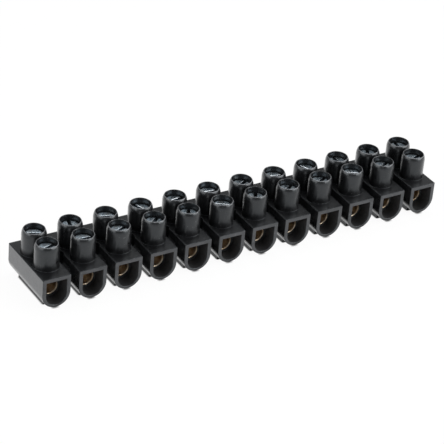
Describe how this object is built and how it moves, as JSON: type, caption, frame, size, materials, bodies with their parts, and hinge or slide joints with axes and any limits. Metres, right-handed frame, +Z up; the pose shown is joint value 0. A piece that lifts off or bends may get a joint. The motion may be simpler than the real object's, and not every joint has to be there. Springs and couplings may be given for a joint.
{
  "type": "terminal strip",
  "caption": "Black moulded screw terminal strip: a row of U-shaped poles, each with a brass barrel for the wire and two towers with slotted clamping screws.",
  "frame": {"origin": "middle of the strip's footprint, on the surface that it rests on", "axes": "+X along the row of poles, +Y from the front wire mouths to the rear ones, +Z up, the way the towers point"},
  "size_m": [0.1178, 0.019, 0.0156],
  "materials": {
    "black_plastic": "moulded black polyamide, satin",
    "brass": "turned bare brass, a little tarnished",
    "zinc_plated_steel": "bright zinc plating with a bluish passivation"
  },
  "bodies": {
    "strip": {"housing": "black_plastic", "barrel_01": "brass", "barrel_02": "brass", "barrel_03": "brass", "barrel_04": "brass", "barrel_05": "brass", "barrel_06": "brass", "barrel_07": "brass", "barrel_08": "brass", "barrel_09": "brass", "barrel_10": "brass", "barrel_11": "brass", "barrel_12": "brass"},
    "screw_front_01": {"screw_front_01": "zinc_plated_steel"},
    "screw_front_02": {"screw_front_02": "zinc_plated_steel"},
    "screw_front_03": {"screw_front_03": "zinc_plated_steel"},
    "screw_front_04": {"screw_front_04": "zinc_plated_steel"},
    "screw_front_05": {"screw_front_05": "zinc_plated_steel"},
    "screw_front_06": {"screw_front_06": "zinc_plated_steel"},
    "screw_front_07": {"screw_front_07": "zinc_plated_steel"},
    "screw_front_08": {"screw_front_08": "zinc_plated_steel"},
    "screw_front_09": {"screw_front_09": "zinc_plated_steel"},
    "screw_front_10": {"screw_front_10": "zinc_plated_steel"},
    "screw_front_11": {"screw_front_11": "zinc_plated_steel"},
    "screw_front_12": {"screw_front_12": "zinc_plated_steel"},
    "screw_rear_01": {"screw_rear_01": "zinc_plated_steel"},
    "screw_rear_02": {"screw_rear_02": "zinc_plated_steel"},
    "screw_rear_03": {"screw_rear_03": "zinc_plated_steel"},
    "screw_rear_04": {"screw_rear_04": "zinc_plated_steel"},
    "screw_rear_05": {"screw_rear_05": "zinc_plated_steel"},
    "screw_rear_06": {"screw_rear_06": "zinc_plated_steel"},
    "screw_rear_07": {"screw_rear_07": "zinc_plated_steel"},
    "screw_rear_08": {"screw_rear_08": "zinc_plated_steel"},
    "screw_rear_09": {"screw_rear_09": "zinc_plated_steel"},
    "screw_rear_10": {"screw_rear_10": "zinc_plated_steel"},
    "screw_rear_11": {"screw_rear_11": "zinc_plated_steel"},
    "screw_rear_12": {"screw_rear_12": "zinc_plated_steel"}
  },
  "joints": [
    {"name": "screw_front_01_travel", "type": "slide", "parent": "strip", "child": "screw_front_01", "axis": [0, 0, 1], "range_m": [-0.003, 0.0004]},
    {"name": "screw_front_02_travel", "type": "slide", "parent": "strip", "child": "screw_front_02", "axis": [0, 0, 1], "range_m": [-0.003, 0.0004]},
    {"name": "screw_front_03_travel", "type": "slide", "parent": "strip", "child": "screw_front_03", "axis": [0, 0, 1], "range_m": [-0.003, 0.0004]},
    {"name": "screw_front_04_travel", "type": "slide", "parent": "strip", "child": "screw_front_04", "axis": [0, 0, 1], "range_m": [-0.003, 0.0004]},
    {"name": "screw_front_05_travel", "type": "slide", "parent": "strip", "child": "screw_front_05", "axis": [0, 0, 1], "range_m": [-0.003, 0.0004]},
    {"name": "screw_front_06_travel", "type": "slide", "parent": "strip", "child": "screw_front_06", "axis": [0, 0, 1], "range_m": [-0.003, 0.0004]},
    {"name": "screw_front_07_travel", "type": "slide", "parent": "strip", "child": "screw_front_07", "axis": [0, 0, 1], "range_m": [-0.003, 0.0004]},
    {"name": "screw_front_08_travel", "type": "slide", "parent": "strip", "child": "screw_front_08", "axis": [0, 0, 1], "range_m": [-0.003, 0.0004]},
    {"name": "screw_front_09_travel", "type": "slide", "parent": "strip", "child": "screw_front_09", "axis": [0, 0, 1], "range_m": [-0.003, 0.0004]},
    {"name": "screw_front_10_travel", "type": "slide", "parent": "strip", "child": "screw_front_10", "axis": [0, 0, 1], "range_m": [-0.003, 0.0004]},
    {"name": "screw_front_11_travel", "type": "slide", "parent": "strip", "child": "screw_front_11", "axis": [0, 0, 1], "range_m": [-0.003, 0.0004]},
    {"name": "screw_front_12_travel", "type": "slide", "parent": "strip", "child": "screw_front_12", "axis": [0, 0, 1], "range_m": [-0.003, 0.0004]},
    {"name": "screw_rear_01_travel", "type": "slide", "parent": "strip", "child": "screw_rear_01", "axis": [0, 0, 1], "range_m": [-0.003, 0.0004]},
    {"name": "screw_rear_02_travel", "type": "slide", "parent": "strip", "child": "screw_rear_02", "axis": [0, 0, 1], "range_m": [-0.003, 0.0004]},
    {"name": "screw_rear_03_travel", "type": "slide", "parent": "strip", "child": "screw_rear_03", "axis": [0, 0, 1], "range_m": [-0.003, 0.0004]},
    {"name": "screw_rear_04_travel", "type": "slide", "parent": "strip", "child": "screw_rear_04", "axis": [0, 0, 1], "range_m": [-0.003, 0.0004]},
    {"name": "screw_rear_05_travel", "type": "slide", "parent": "strip", "child": "screw_rear_05", "axis": [0, 0, 1], "range_m": [-0.003, 0.0004]},
    {"name": "screw_rear_06_travel", "type": "slide", "parent": "strip", "child": "screw_rear_06", "axis": [0, 0, 1], "range_m": [-0.003, 0.0004]},
    {"name": "screw_rear_07_travel", "type": "slide", "parent": "strip", "child": "screw_rear_07", "axis": [0, 0, 1], "range_m": [-0.003, 0.0004]},
    {"name": "screw_rear_08_travel", "type": "slide", "parent": "strip", "child": "screw_rear_08", "axis": [0, 0, 1], "range_m": [-0.003, 0.0004]},
    {"name": "screw_rear_09_travel", "type": "slide", "parent": "strip", "child": "screw_rear_09", "axis": [0, 0, 1], "range_m": [-0.003, 0.0004]},
    {"name": "screw_rear_10_travel", "type": "slide", "parent": "strip", "child": "screw_rear_10", "axis": [0, 0, 1], "range_m": [-0.003, 0.0004]},
    {"name": "screw_rear_11_travel", "type": "slide", "parent": "strip", "child": "screw_rear_11", "axis": [0, 0, 1], "range_m": [-0.003, 0.0004]},
    {"name": "screw_rear_12_travel", "type": "slide", "parent": "strip", "child": "screw_rear_12", "axis": [0, 0, 1], "range_m": [-0.003, 0.0004]}
  ]
}
